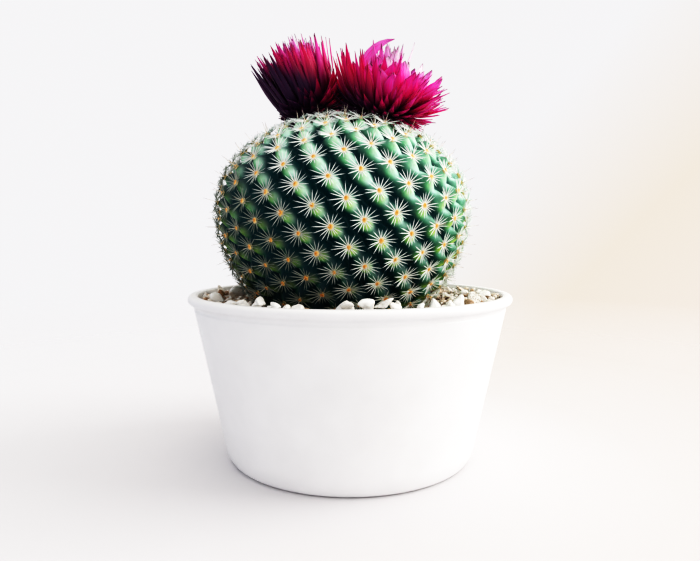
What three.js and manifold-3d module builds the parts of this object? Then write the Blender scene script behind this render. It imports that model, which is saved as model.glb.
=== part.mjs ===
// A round cactus in a white pot, with two dried strawflower heads glued to its crown.
// Millimetres, +Z up. The origin is the centre of the pot's base, and -Y is the front.
import * as THREE from 'three';
import { mergeVertices } from 'three/addons/utils/BufferGeometryUtils.js';
import { ConvexGeometry } from 'three/addons/geometries/ConvexGeometry.js';
import Module from 'manifold-3d';

// ---- driving dimensions -------------------------------------------------------------

const GAP = 0.3; // clearance between pieces that touch
const ROUND = 48; // sides of everything turned about the pot's axis

const POT = {
  height: 43.4,
  baseRadius: 32.7,
  taper: 0.207, // how much the wall spreads for each millimetre of height
  wall: 1.9,
  floor: 3.2,
  cornerRadius: 1.8, // rounding where the wall meets the base
  footWidth: 4, // flat ring that the pot stands on
  footDepth: 0.8, // recess inside that ring
  rimRadius: 42.5,
  lipDepth: 2.3, // height of the rolled lip
  bandHeight: 1.4, // set-back band under the lip
  bandDepth: 0.12,
};

const BODY = {
  centre: new THREE.Vector3(-1.95, 1.25, 65.2),
  radius: 33,
  rise: 24.4, // centre to crown
  drop: 33.4, // centre to the buried underside
  areoles: 352.4, // that the spiral would carry from crown to root
  crowding: -0.255, // below zero, the rows open out a little towards the crown
  leanFront: 0.98, // degrees that the crown leans towards -Y
  leanRight: 7.83, // and towards +X
  divergence: 137.52, // degrees from each areole to the next, close to the golden angle
  firstTurn: 200.02, // degrees round the axis to the start of the spiral
  kept: 0.97, // share of the spiral that is above the root crown
  saddle: 1.3, // depth of the ridge between two tubercles
  valley: 2.6, // depth of the pit between three tubercles
};

const ROOT = { topRadius: 7.5, tipRadius: 3, length: 16, buried: 2 };

const SOIL_TOP = 35;
const GRAVEL_TOP = 39.4;

const PEBBLE = {
  size: 4.9,
  spread: 0.14, // share by which a pebble may be larger or smaller
  points: 22, // corners of one pebble
  ring: 34.8, // radius of the ring that they lie on, against the pot's wall
  wander: 0.6,
  front: [-55, -37, -28, -18, -1, 8, 18, 33], // degrees from the front, towards +X
  others: 16, // spread evenly round the back
};

const HEAD = {
  radius: 4.4, // of the receptacle
  height: 3.2,
  floretRadius: 2.8,
  floretHeight: 5,
  glueRadius: 4.6,
  glueSkirt: 1, // how far the glue runs down from the seat
  glueHeight: 1.2, // and how far it stands up round the receptacle
  standOff: 1.5, // receptacle above the crown
};

// Angles in degrees. A bract leans out by lean, and by up to swing more on the open side.
const HEADS = [
  {
    side: 'left',
    x: -9.8,
    y: 2.4,
    leanRight: -23,
    leanFront: 4,
    opensTowards: 195,
    outer: { count: 7, length: 20.5, width: 5, lean: 32, swing: 11, curl: 12, turn: 10 },
    inner: { count: 5, length: 18, width: 4.8, lean: 13, swing: 4, curl: 14, turn: 30 },
  },
  {
    side: 'right',
    x: 8.8,
    y: -2.4,
    leanRight: 7,
    leanFront: 8,
    opensTowards: -20,
    outer: { count: 7, length: 18.5, width: 5.4, lean: 48, swing: 19, curl: 26, turn: 5 },
    inner: { count: 5, length: 15.5, width: 4.8, lean: 20, swing: 4, curl: 30, turn: 24 },
  },
];

const BRACT_THICKNESS = 0.5;

// ---- helpers ------------------------------------------------------------------------

const wasm = await Module();
wasm.setup();

const GOLDEN_ANGLE = Math.PI * (3 - Math.sqrt(5));
const X = new THREE.Vector3(1, 0, 0);
const Y = new THREE.Vector3(0, 1, 0);
const Z = new THREE.Vector3(0, 0, 1);
const deg = THREE.MathUtils.degToRad;

const model = new THREE.Group();

function piece(name, geometry, colour, roughness) {
  const material = new THREE.MeshStandardMaterial({ color: colour, roughness, metalness: 0 });
  const mesh = new THREE.Mesh(geometry, material);
  mesh.name = name;
  return mesh;
}

// A profile of [radius, height] points turned about +Z.
function turned(profile, sides = ROUND) {
  const points = profile.map(([radius, height]) => new THREE.Vector2(radius, height));
  return new THREE.LatheGeometry(points, sides).rotateX(Math.PI / 2);
}

function asSolid(geometry) {
  const bare = geometry.clone();
  bare.deleteAttribute('normal');
  bare.deleteAttribute('uv');
  const merged = mergeVertices(bare, 1e-4);
  const vertProperties = new Float32Array(merged.attributes.position.array);
  const triVerts = new Uint32Array(merged.index.array);
  return new wasm.Manifold(new wasm.Mesh({ numProp: 3, vertProperties, triVerts }));
}

function asGeometry(solid) {
  const mesh = solid.getMesh();
  const geometry = new THREE.BufferGeometry();
  geometry.setAttribute('position', new THREE.BufferAttribute(mesh.vertProperties, 3));
  geometry.setIndex(new THREE.BufferAttribute(mesh.triVerts, 1));
  return geometry;
}

// A repeatable stream of numbers from 0 to 1.
function stream(seed) {
  let state = seed;
  return () => {
    state = (state * 1664525 + 1013904223) % 4294967296;
    return state / 4294967296;
  };
}

// ---- pot ----------------------------------------------------------------------------

const wallRadius = (height) => POT.baseRadius + POT.taper * height;
const innerRadius = (height) => wallRadius(height) - POT.wall;

function potProfile() {
  const { height, baseRadius, cornerRadius, footDepth, footWidth, rimRadius, wall } = POT;
  const lipFoot = height - POT.lipDepth;
  const bandFoot = lipFoot - POT.bandHeight;
  const footOuter = baseRadius - cornerRadius;
  const corner = [30, 60].map((angle) => [
    footOuter + cornerRadius * Math.sin(deg(angle)),
    cornerRadius * (1 - Math.cos(deg(angle))),
  ]);
  const lipRadius = POT.lipDepth / 2;
  const lip = [-60, -30, 0, 30, 60, 90].map((angle) => [
    rimRadius - lipRadius * (1 - Math.cos(deg(angle))),
    height - lipRadius * (1 - Math.sin(deg(angle))),
  ]);
  const lipInside = innerRadius(height) + 0.2;
  return [
    [0, footDepth],
    [footOuter - footWidth - footDepth, footDepth],
    [footOuter - footWidth, 0],
    [footOuter, 0],
    ...corner,
    [wallRadius(cornerRadius), cornerRadius],
    [wallRadius(bandFoot), bandFoot],
    [wallRadius(bandFoot) - POT.bandDepth, bandFoot + POT.bandDepth],
    [wallRadius(lipFoot) - POT.bandDepth, lipFoot],
    ...lip,
    [lipInside + wall / 4, height],
    [lipInside, height - wall / 3],
    [innerRadius(POT.floor + cornerRadius), POT.floor + cornerRadius],
    [innerRadius(POT.floor) - cornerRadius, POT.floor],
    [0, POT.floor],
  ];
}

model.add(piece('pot', turned(potProfile()), '#f3f2ef', 0.35));

// ---- cactus body --------------------------------------------------------------------

// Unit vector from the body's centre to areole number i of the spiral.
function areoleDirection(i) {
  const share = (i + 0.5) / BODY.areoles;
  const z = 1 - 2 * (share * (1 - BODY.crowding) + BODY.crowding * share * share);
  const radius = Math.sqrt(Math.max(0, 1 - z * z));
  const turn = deg(BODY.divergence * (i + 0.5) + BODY.firstTurn);
  return new THREE.Vector3(radius * Math.cos(turn), radius * Math.sin(turn), z)
    .applyAxisAngle(X, deg(BODY.leanFront))
    .applyAxisAngle(Y, deg(BODY.leanRight));
}

// The point in that direction that lies the given depth under the body's smooth outline.
function bodyPoint(direction, depth = 0) {
  const halfHeight = direction.z > 0 ? BODY.rise : BODY.drop;
  const across = Math.hypot(direction.x, direction.y) / BODY.radius;
  const reach = 1 / Math.hypot(across, direction.z / halfHeight) - depth;
  return direction.clone().multiplyScalar(reach).add(BODY.centre);
}

const sunk = (point, depth) => bodyPoint(point.clone().sub(BODY.centre).normalize(), depth);

// Every areole is the tip of a tubercle; ridges and pits lie between neighbouring tips.
function tubercledSkin() {
  const tips = [];
  for (let i = 0; i < BODY.areoles * BODY.kept; i += 1) tips.push(bodyPoint(areoleDirection(i)));
  const corners = new ConvexGeometry(tips).attributes.position;
  const points = [];
  for (let first = 0; first < corners.count; first += 3) {
    const tip = [0, 1, 2].map((k) => new THREE.Vector3().fromBufferAttribute(corners, first + k));
    const next = [tip[1], tip[2], tip[0]];
    const ridge = tip.map((point, k) =>
      sunk(new THREE.Vector3().addVectors(point, next[k]).multiplyScalar(0.5), BODY.saddle));
    const middle = new THREE.Vector3().add(tip[0]).add(tip[1]).add(tip[2]).divideScalar(3);
    const pit = sunk(middle, BODY.valley);
    for (let k = 0; k < 3; k += 1) points.push(tip[k], ridge[k], pit, ridge[k], next[k], pit);
  }
  return new THREE.BufferGeometry().setFromPoints(points);
}

// The stub of the taproot, under the body; grown is the clearance added all round.
function rootCrown(grown = 0) {
  const top = BODY.centre.z - BODY.drop + ROOT.buried;
  const bottom = top - ROOT.length - grown;
  const profile = [
    [0, bottom],
    [ROOT.tipRadius + grown, bottom],
    [ROOT.topRadius + grown, top],
    [0, top],
  ];
  return turned(profile, 16).translate(BODY.centre.x, BODY.centre.y, 0);
}

const cactus = asSolid(tubercledSkin()).add(asSolid(rootCrown()));
model.add(piece('cactus_body', asGeometry(cactus), '#1f6b4a', 0.45));

// The smooth outline of the body with its root, grown by the clearance, as a cutter.
function bodyCutter() {
  const geometry = new THREE.SphereGeometry(1, 36, 24).rotateX(Math.PI / 2);
  const place = geometry.attributes.position;
  const grown = -(GAP + 0.2);
  for (let i = 0; i < place.count; i += 1) {
    const direction = new THREE.Vector3().fromBufferAttribute(place, i).normalize();
    place.setXYZ(i, ...bodyPoint(direction, grown).toArray());
  }
  return asSolid(geometry).add(asSolid(rootCrown(GAP)));
}

const cutter = bodyCutter();

// ---- soil and gravel ----------------------------------------------------------------

function soilProfile() {
  const bottom = POT.floor + GAP;
  const chamfer = POT.cornerRadius;
  return [
    [0, bottom],
    [innerRadius(bottom) - chamfer - GAP, bottom],
    [innerRadius(bottom + chamfer) - GAP, bottom + chamfer],
    [innerRadius(SOIL_TOP) - GAP, SOIL_TOP],
    [0, SOIL_TOP],
  ];
}

function gravelProfile() {
  const bottom = SOIL_TOP + GAP;
  return [
    [0, bottom],
    [innerRadius(bottom) - GAP, bottom],
    [innerRadius(GRAVEL_TOP) - GAP, GRAVEL_TOP],
    [0, GRAVEL_TOP],
  ];
}

const soil = asSolid(turned(soilProfile())).subtract(cutter);
const gravel = asSolid(turned(gravelProfile())).subtract(cutter);
model.add(piece('soil', asGeometry(soil), '#2c221b', 0.95));
model.add(piece('gravel_bed', asGeometry(gravel), '#c9bda9', 0.85));

// One rounded quartz pebble: a hull of points scattered evenly over an ellipsoid.
function pebbleGeometry(random, halfLength, halfHeight) {
  const points = [];
  for (let i = 0; i < PEBBLE.points; i += 1) {
    const z = 1 - (2 * (i + 0.5)) / PEBBLE.points;
    const radius = Math.sqrt(1 - z * z);
    const turn = GOLDEN_ANGLE * i;
    const swell = 1 - 0.1 * random();
    points.push(new THREE.Vector3(
      halfLength * radius * Math.cos(turn) * swell,
      halfLength * 0.85 * radius * Math.sin(turn) * swell,
      halfHeight * z * swell,
    ));
  }
  return new ConvexGeometry(points);
}

function addPebbles() {
  const random = stream(7);
  const either = () => 2 * random() - 1;
  const turns = [...PEBBLE.front];
  const start = turns[turns.length - 1];
  const step = (360 + turns[0] - start) / (PEBBLE.others + 1);
  for (let i = 1; i <= PEBBLE.others; i += 1) turns.push(start + (i + 0.15 * either()) * step);
  turns.forEach((turn, i) => {
    const halfLength = (PEBBLE.size / 2) * (1 + PEBBLE.spread * either());
    const halfHeight = halfLength * (0.84 + 0.1 * random());
    const colour = random() < 0.2 ? '#b49c80' : '#efede8';
    const name = `pebble_${String(i + 1).padStart(2, '0')}`;
    const pebble = piece(name, pebbleGeometry(random, halfLength, halfHeight), colour, 0.6);
    const ring = PEBBLE.ring + PEBBLE.wander * either();
    const height = GRAVEL_TOP + GAP + halfHeight;
    pebble.position.set(ring * Math.sin(deg(turn)), -ring * Math.cos(deg(turn)), height);
    pebble.rotation.z = Math.PI * random();
    model.add(pebble);
  });
}

addPebbles();

// ---- strawflower heads --------------------------------------------------------------

// The receptacle is a low cup with a rounded underside; grown is the clearance all round.
function receptacle(grown = 0) {
  const { radius, height } = HEAD;
  const bowl = [0, 25, 50, 75, 90].map((angle) => [
    (radius + grown) * Math.sin(deg(angle)),
    height * 0.7 - (height * 0.7 + grown) * Math.cos(deg(angle)),
  ]);
  return turned([...bowl, [radius + grown, height + grown], [0, height + grown]], 20);
}

function floretDisc() {
  const { floretRadius, floretHeight } = HEAD;
  const foot = HEAD.height + GAP;
  const dome = [0, 30, 60, 90].map((angle) => [
    floretRadius * Math.cos(deg(angle)),
    foot + floretHeight * (0.5 + 0.5 * Math.sin(deg(angle))),
  ]);
  dome[dome.length - 1][0] = 0;
  return turned([[0, foot], [floretRadius, foot], ...dome], 16);
}

// A papery bract: a pointed blade bent through the curl angle, its back towards +X.
function bractGeometry(length, width, curl) {
  const outline = new THREE.Shape();
  outline.moveTo(-width * 0.2, 0);
  outline.quadraticCurveTo(-width * 0.85, length * 0.5, 0, length);
  outline.quadraticCurveTo(width * 0.85, length * 0.5, width * 0.2, 0);
  outline.closePath();
  const blade = new THREE.ExtrudeGeometry(outline, {
    depth: BRACT_THICKNESS,
    bevelEnabled: false,
    curveSegments: 6,
  });
  const place = blade.attributes.position;
  const bendRadius = length / deg(curl);
  for (let i = 0; i < place.count; i += 1) {
    const angle = place.getY(i) / bendRadius;
    const reach = bendRadius + place.getZ(i);
    place.setXYZ(i, reach * Math.cos(angle) - bendRadius, place.getX(i), reach * Math.sin(angle));
  }
  return blade;
}

// A ring of bracts round the head's axis, leaning out furthest on the side it opens towards.
function addWhorl(head, name, whorl, ring, height, opensTowards) {
  for (let i = 0; i < whorl.count; i += 1) {
    const azimuth = whorl.turn + (360 * i) / whorl.count;
    const lean = whorl.lean + whorl.swing * Math.cos(deg(azimuth - opensTowards));
    const spoke = new THREE.Group();
    spoke.rotation.z = deg(azimuth);
    const blade = bractGeometry(whorl.length, whorl.width, whorl.curl);
    const bract = piece(`${name}_${i + 1}`, blade, '#c9125e', 0.5);
    bract.position.set(ring, 0, height);
    bract.rotation.y = deg(lean);
    spoke.add(bract);
    head.add(spoke);
  }
}

function addHead(spec) {
  const direction = new THREE.Vector3(spec.x, spec.y, 0).sub(BODY.centre);
  const flat = Math.hypot(direction.x, direction.y) / BODY.radius;
  direction.z = BODY.rise * Math.sqrt(1 - flat * flat);
  const seat = direction.add(BODY.centre);

  const head = new THREE.Group();
  head.position.copy(seat).addScaledVector(Z, HEAD.standOff);
  head.rotation.set(deg(spec.leanFront), deg(spec.leanRight), 0);
  head.add(piece(`receptacle_${spec.side}`, receptacle(), '#4a1228', 0.7));
  head.add(piece(`florets_${spec.side}`, floretDisc(), '#8c3a2c', 0.8));
  addWhorl(head, `outer_bract_${spec.side}`, spec.outer, HEAD.radius + GAP, 1.6, spec.opensTowards);
  addWhorl(head, `inner_bract_${spec.side}`, spec.inner, HEAD.floretRadius + GAP, HEAD.height + GAP,
    spec.opensTowards);
  model.add(head);

  head.updateMatrixWorld(true);
  const { glueRadius, glueSkirt, glueHeight } = HEAD;
  const puddle = [[0, -glueSkirt], [glueRadius, -glueSkirt], [glueRadius, glueHeight], [0, glueHeight]];
  const pad = asSolid(turned(puddle, 20).translate(seat.x, seat.y, seat.z));
  const cup = asSolid(receptacle(GAP).applyMatrix4(head.matrixWorld));
  const glue = pad.subtract(cutter).subtract(cup);
  model.add(piece(`glue_${spec.side}`, asGeometry(glue), '#e8e2cf', 0.4));
}

HEADS.forEach(addHead);

export default model;
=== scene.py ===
# %% [markdown]
# # A round cactus in a white pot
#
# The object is a small nipple cactus in a glazed pot, bedded in quartz gravel, with two dyed
# strawflower heads glued to its crown. The CAD frame already says where everything is and how
# big it is. This lesson gives each piece its real surface: skin with tubercles and spines,
# papery bracts, tumbled stones and a satin glaze.

# %% Load the frame
import math

import bmesh
import bpy
import numpy as np
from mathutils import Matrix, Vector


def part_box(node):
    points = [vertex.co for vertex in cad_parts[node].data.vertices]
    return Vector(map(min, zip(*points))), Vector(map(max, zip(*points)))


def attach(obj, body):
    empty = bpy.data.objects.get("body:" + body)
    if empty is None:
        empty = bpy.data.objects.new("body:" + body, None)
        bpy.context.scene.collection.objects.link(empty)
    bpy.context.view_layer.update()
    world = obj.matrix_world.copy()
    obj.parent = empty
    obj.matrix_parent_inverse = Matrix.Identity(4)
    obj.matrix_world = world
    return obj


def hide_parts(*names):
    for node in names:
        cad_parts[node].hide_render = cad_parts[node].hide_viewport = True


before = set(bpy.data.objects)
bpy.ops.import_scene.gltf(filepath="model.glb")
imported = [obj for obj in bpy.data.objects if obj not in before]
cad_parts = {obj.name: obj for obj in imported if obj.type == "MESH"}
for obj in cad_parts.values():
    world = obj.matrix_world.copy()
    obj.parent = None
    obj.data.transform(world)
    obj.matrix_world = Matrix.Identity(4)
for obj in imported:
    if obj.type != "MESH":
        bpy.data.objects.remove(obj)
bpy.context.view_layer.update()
MM = 0.001
GOLDEN_ANGLE = math.pi * (3 - math.sqrt(5))

# %% [markdown]
# ## Small tools
#
# Every finish below is written with the same few functions. One turns an sRGB hex colour into
# the linear numbers that a shader wants; the others start a material, add one node with its
# settings and links, and connect the last ones to the shader. The short ones after them are the
# nodes that nearly every finish needs. Another function turns arrays of points and faces into a
# piece that rides on the frame.

# %% Colours and nodes
def linear(colour):
    """An sRGB hex colour as linear red, green, blue and alpha."""
    channels = [int(colour[i:i + 2], 16) / 255 for i in (1, 3, 5)]
    bent = [c / 12.92 if c <= 0.04045 else ((c + 0.055) / 1.055) ** 2.4 for c in channels]
    return (*bent, 1.0)


def add(tree, kind, inputs=None, ramp=None, **settings):
    """Adds a node; inputs maps its sockets to values or to other nodes' outputs."""
    node = tree.nodes.new("ShaderNode" + kind)
    for name, value in settings.items():
        setattr(node, name, value)
    for name, value in (inputs or {}).items():
        if isinstance(value, bpy.types.NodeSocket):
            tree.links.new(value, node.inputs[name])
        else:
            node.inputs[name].default_value = value
    if ramp:
        stops = node.color_ramp.elements
        while len(stops) < len(ramp):
            stops.new(0.5)
        for stop, (place, colour) in zip(stops, ramp):
            stop.position = place
            stop.color = colour if isinstance(colour, tuple) else linear(colour)
    return node


def new_material(name, **sockets):
    """A material with one Principled shader; sockets are values that never vary on it."""
    made = bpy.data.materials.new(name)
    made.use_nodes = True
    shader = made.node_tree.nodes["Principled BSDF"]
    for socket, value in sockets.items():
        shader.inputs[socket.replace("_", " ")].default_value = value
    return made, made.node_tree, shader


def connect(tree, shader, colour=None, roughness=None, normal=None):
    """Links the outputs that vary over the surface to the shader."""
    for name, output in (("Base Color", colour), ("Roughness", roughness), ("Normal", normal)):
        if output is not None:
            tree.links.new(output, shader.inputs[name])


# %% Usual nodes
def noise(tree, place, size, detail):
    """A value from 0 to 1 that wanders over about that distance."""
    return add(tree, "TexNoise", {"Vector": place, "Scale": 1 / size, "Detail": detail}).outputs["Fac"]


def stored(tree, name):
    """The value of that name on the piece's points."""
    return add(tree, "Attribute", attribute_name=name).outputs["Fac"]


def span(tree, value, low, high, start=0.0, end=1.0):
    """Maps start to end onto low to high."""
    inputs = {"Value": value, "From Min": start, "From Max": end, "To Min": low, "To Max": high}
    return add(tree, "MapRange", inputs).outputs["Result"]


def added(tree, one, other, clamp=False):
    return add(tree, "Math", {0: one, 1: other}, operation="ADD", use_clamp=clamp).outputs[0]


def ramped(tree, value, ramp):
    return add(tree, "ValToRGB", {"Fac": value}, ramp=ramp).outputs["Color"]


def blend(tree, share, one, other, how="MIX"):
    """One colour at a share of 0 and the other, or their product, at 1."""
    return add(tree, "Mix", {0: share, 6: one, 7: other}, data_type="RGBA", blend_type=how).outputs[2]


def bumped(tree, height, strength, depth, under=None):
    """A bumped normal, on top of another one if there is one."""
    inputs = {"Height": height, "Strength": strength, "Distance": depth}
    if under:
        inputs["Normal"] = under
    return add(tree, "Bump", inputs).outputs["Normal"]


# %% Pieces from arrays
def make_piece(name, points, faces, finish, replaces=(), attributes=None, smooth=True):
    """Builds a mesh in metres, rides it on the one body and hides the CAD nodes it stands for."""
    mesh = bpy.data.meshes.new(name)
    mesh.from_pydata(np.asarray(points).tolist(), [], faces)
    for key, values in (attributes or {}).items():
        layer = mesh.attributes.new(key, "FLOAT", "POINT")
        layer.data.foreach_set("value", np.ascontiguousarray(values, np.float32))
    mesh.update()
    if smooth:
        mesh.shade_smooth()
    mesh.materials.append(finish)
    piece = bpy.data.objects.new(name, mesh)
    bpy.context.scene.collection.objects.link(piece)
    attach(piece, "root")
    if replaces:
        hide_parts(*replaces)
    size = (np.max(points, axis=0) - np.min(points, axis=0)) / MM
    print(f"{name}: {len(points)} points, {len(faces)} faces, {np.round(size, 1)} mm")
    return piece


def turned(profile, sides):
    """Turns (radius, height) points about +Z; the first and last ones lie on the axis."""
    ring = np.arange(sides) * 2 * math.pi / sides
    points = [(0.0, 0.0, profile[0][1])]
    for radius, height in profile[1:-1]:
        points += [(radius * math.cos(a), radius * math.sin(a), height) for a in ring]
    points.append((0.0, 0.0, profile[-1][1]))
    faces = []
    rows = len(profile) - 2
    for j in range(sides):
        k = (j + 1) % sides
        faces.append((0, 1 + k, 1 + j))
        for i in range(rows - 1):
            low, high = 1 + i * sides, 1 + (i + 1) * sides
            faces.append((low + j, low + k, high + k, high + j))
        faces.append((1 + (rows - 1) * sides + j, 1 + (rows - 1) * sides + k, len(points) - 1))
    return np.array(points), faces


def joined(parts):
    """Joins (points, faces) pairs into one pair of arrays."""
    starts = np.cumsum([0] + [len(points) for points, _ in parts])
    faces = [(np.asarray(these) + start).tolist() for (_, these), start in zip(parts, starts)]
    return np.concatenate([points for points, _ in parts]), [f for some in faces for f in some]


# %% [markdown]
# ## Camera
#
# A wide lens at about 16 cm, a little above the pot's rim and tipped down by four degrees. It
# stands so near that the rim opens into an ellipse while the ball hides its back half.

# %% Camera
LENS = 30.2  # mm, on a sensor 36 mm wide
CAMERA_BACK = 158.6 * MM  # from the pot's axis
CAMERA_HEIGHT = 57.9 * MM
CAMERA_PITCH = math.radians(4.18)  # below level

camera_data = bpy.data.cameras.new("camera")
camera_data.lens = LENS
camera_data.sensor_width = 36
camera = bpy.data.objects.new("camera", camera_data)
camera.location = (0, -CAMERA_BACK, CAMERA_HEIGHT)
camera.rotation_euler = (math.pi / 2 - CAMERA_PITCH, 0, 0)
camera_data.clip_start = 0.01
bpy.context.scene.collection.objects.link(camera)
bpy.context.scene.camera = camera
print("camera at", [round(v / MM, 1) for v in camera.location])

# %% [markdown]
# ## Glazed stoneware pot
#
# The pot is slip-cast: a tapered wall under a rolled lip, with a thin set-back band below the
# lip. Turning a profile is how the real one's mould was made too, so the mesh is a profile
# turned about the axis, fine enough that no facet shows. The glaze is a satin tin white.

# %% Pot shape
POT = {
    "taper": 0.207,  # how much the radius grows per height
    "wall": 1.9 * MM,
    "floor": 3.2 * MM,
    "corner": 1.8 * MM,
    "foot_width": 4 * MM,
    "foot_depth": 0.8 * MM,
    "lip_depth": 2.3 * MM,
    "band_height": 1.4 * MM,
    "band_depth": 0.12 * MM,
    "base_radius": 32.7 * MM,
}
pot_low, pot_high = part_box("pot")
RIM_RADIUS = (pot_high.x - pot_low.x) / 2
RIM_HEIGHT = pot_high.z


def wall_radius(height):
    return POT["base_radius"] + POT["taper"] * height


def inner_radius(height):
    return wall_radius(height) - POT["wall"]


def arc(start, end, count):
    """Angles in radians between two in degrees."""
    return np.radians(np.linspace(start, end, count))


def pot_profile():
    """Half the pot's section: foot, wall, band, lip, and back down the inside."""
    foot_outer = POT["base_radius"] - POT["corner"]
    lip_foot = RIM_HEIGHT - POT["lip_depth"]
    band_foot = lip_foot - POT["band_height"]
    lip_round = POT["lip_depth"] / 2
    inside = inner_radius(RIM_HEIGHT) + 0.2 * MM
    soft = 0.15 * MM  # rounding where the band steps in
    inner_heights = np.linspace(RIM_HEIGHT - 2.6 * MM, POT["floor"] + POT["corner"], 10)
    profile = [
        (0, POT["foot_depth"]),
        (foot_outer - POT["foot_width"] - POT["foot_depth"], POT["foot_depth"]),
        (foot_outer - POT["foot_width"], 0),
        (foot_outer, 0),
    ]
    profile += [
        (foot_outer + POT["corner"] * math.sin(a), POT["corner"] * (1 - math.cos(a)))
        for a in arc(12, 72, 6)
    ]
    profile += [(wall_radius(h), h) for h in np.linspace(POT["corner"], band_foot - soft, 14)]
    profile += [
        (wall_radius(band_foot) - 0.12 * POT["band_depth"], band_foot + 0.2 * soft),
        (wall_radius(band_foot) - 0.8 * POT["band_depth"], band_foot + soft),
        (wall_radius(band_foot) - POT["band_depth"], band_foot + 2 * soft),
        (wall_radius(lip_foot) - POT["band_depth"], lip_foot - soft),
    ]
    profile += [
        (RIM_RADIUS - lip_round * (1 - math.cos(a)), RIM_HEIGHT - lip_round * (1 - math.sin(a)))
        for a in arc(-75, 90, 14)
    ]
    crest = (RIM_RADIUS - lip_round - inside) / 2
    middle = inside + crest
    profile += [
        (middle - crest * math.sin(a), RIM_HEIGHT - crest * (1 - math.cos(a)))
        for a in arc(10, 90, 7)
    ]
    profile += [(inner_radius(h), h) for h in inner_heights]
    profile += [(inner_radius(POT["floor"]) - POT["corner"], POT["floor"]), (0, POT["floor"])]
    return profile


pot_points, pot_faces = turned(pot_profile(), 192)

# %% [markdown]
# A satin glaze is glass with a fine crystal bloom in it: IOR 1.5, roughness about a third, and
# a soft unevenness a few millimetres across where the glaze ran before it set. Pinholes and a
# few specks of iron in the clay are what make it ceramic and not plastic.

# %% Satin white glaze
def satin_glaze():
    made, tree, shader = new_material("satin_tin_glaze", IOR=1.5, Coat_Weight=0.15, Coat_Roughness=0.12)
    place = add(tree, "TexCoord").outputs["Object"]
    pool = noise(tree, place, 9 * MM, 2.0)
    grain = noise(tree, place, 0.5 * MM, 3.0)
    tint = ramped(tree, pool, [(0.3, "#f0f0f1"), (0.7, "#f5f5f6")])
    speck = add(tree, "TexVoronoi", {"Vector": place, "Scale": 1 / (13 * MM)}, feature="F1")
    spots = ramped(tree, speck.outputs["Distance"], [(0.012, "#a9a49b"), (0.02, "#ffffff")])
    colour = blend(tree, 1.0, tint, spots, "MULTIPLY")
    low = bumped(tree, pool, 0.25, 0.3 * MM)
    fine = bumped(tree, grain, 0.2, 0.02 * MM, low)
    connect(tree, shader, colour, span(tree, grain, 0.3, 0.42), fine)
    return made


glaze = satin_glaze()
make_piece("pot_glazed", pot_points, pot_faces, glaze, ["pot"])

# %% [markdown]
# ## Where the tubercles are
#
# A cactus sets its tubercles one at a time, each turned by about the golden angle from the one
# before, and the spiral rows that the eye sees follow from that one rule. The same rule and the
# same sizes as in the CAD body give every tip here, so skin, wool and spines all agree.

# %% Areole spiral
BODY = {
    "centre": np.array([-1.95, 1.25, 65.2]) * MM,
    "radius": 33 * MM,
    "rise": 24.4 * MM,  # half height above the centre
    "drop": 33.4 * MM,  # and below it
    "areoles": 352.4,  # on the whole spheroid
    "crowding": -0.255,  # below zero: they stand closer together towards the foot
    "lean_front": math.radians(0.98),
    "lean_right": math.radians(7.83),
    "divergence": math.radians(137.52),
    "first_turn": math.radians(200.02),
    "kept": 0.97,  # share of the spiral that has grown; the rest would sit on the root
}


def lean(vectors):
    """Tips the spiral's axis towards the front and then to the right."""
    x, y, z = np.moveaxis(vectors, -1, 0)
    cf, sf = math.cos(BODY["lean_front"]), math.sin(BODY["lean_front"])
    y, z = y * cf - z * sf, y * sf + z * cf
    cr, sr = math.cos(BODY["lean_right"]), math.sin(BODY["lean_right"])
    return np.stack([x * cr + z * sr, y, z * cr - x * sr], -1)


def on_body(directions, depth=0.0):
    """The points in those directions, that depth under the body's smooth outline."""
    half_height = np.where(directions[:, 2] > 0, BODY["rise"], BODY["drop"])
    across = np.hypot(directions[:, 0], directions[:, 1]) / BODY["radius"]
    reach = 1 / np.hypot(across, directions[:, 2] / half_height) - depth
    return BODY["centre"] + directions * reach[:, None]


def unit(vectors):
    """The same directions with length one."""
    return vectors / np.linalg.norm(vectors, axis=-1, keepdims=True)


def outline_normal(points):
    """Outward normal of the smooth outline at those points."""
    away = points - BODY["centre"]
    half_height = np.where(away[:, 2] > 0, BODY["rise"], BODY["drop"])
    return unit(away / np.stack([np.full(len(away), BODY["radius"])] * 2 + [half_height], -1) ** 2)


count = int(BODY["areoles"] * BODY["kept"])
number = np.arange(count) + 0.5
share = number / BODY["areoles"]
polar = 1 - 2 * (share * (1 - BODY["crowding"]) + BODY["crowding"] * share ** 2)
ring = np.sqrt(np.clip(1 - polar ** 2, 0, 1))
turn = BODY["divergence"] * number + BODY["first_turn"]
tip = on_body(lean(np.stack([ring * np.cos(turn), ring * np.sin(turn), polar], -1)))
tip_out = outline_normal(tip)
crown_axis = lean(np.array([0.0, 0.0, 1.0]))
tip_up = unit(crown_axis - (tip_out @ crown_axis)[:, None] * tip_out)
tip_right = np.cross(tip_up, tip_out)
gravel_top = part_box("gravel_bed")[1].z
shown = tip[:, 2] > gravel_top - 1 * MM
print(f"{count} areoles, {shown.sum()} of them above the gravel")

# %% [markdown]
# ## The skin
#
# A tubercle is a blunt cone. Every tip is nearest to the one 21 places on, so the tubercles run
# together into ridges that wind down to the right, with deep folds between the ridges. The skin
# is a sphere of square grids pushed in by the distance to the nearest tips, where a distance
# along the ridge counts for less than one across it. A soft minimum rounds the creases, because
# they are folds of flesh.

# %% Skin shape
SKIN_STEPS = 126  # squares along each side of the grid, about 0.4 mm each
ON_RIDGE = 21  # how many places on the next tip of the same ridge is
TIP_ROUND = 0.7 * MM
SLOPE = 1.2  # fall of a tubercle's side
CREASE_ROUND = 0.12 * MM
DOWN_RIDGE, UP_RIDGE = 0.57, 0.95  # how much a distance along the ridge counts
ABOVE_RIDGE, BELOW_RIDGE = 1.1, 1.0  # and one across it
DEEPEST = 3.4 * MM
AT_ONCE = 8000  # points worked on together, so that the arrays stay small


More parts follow.
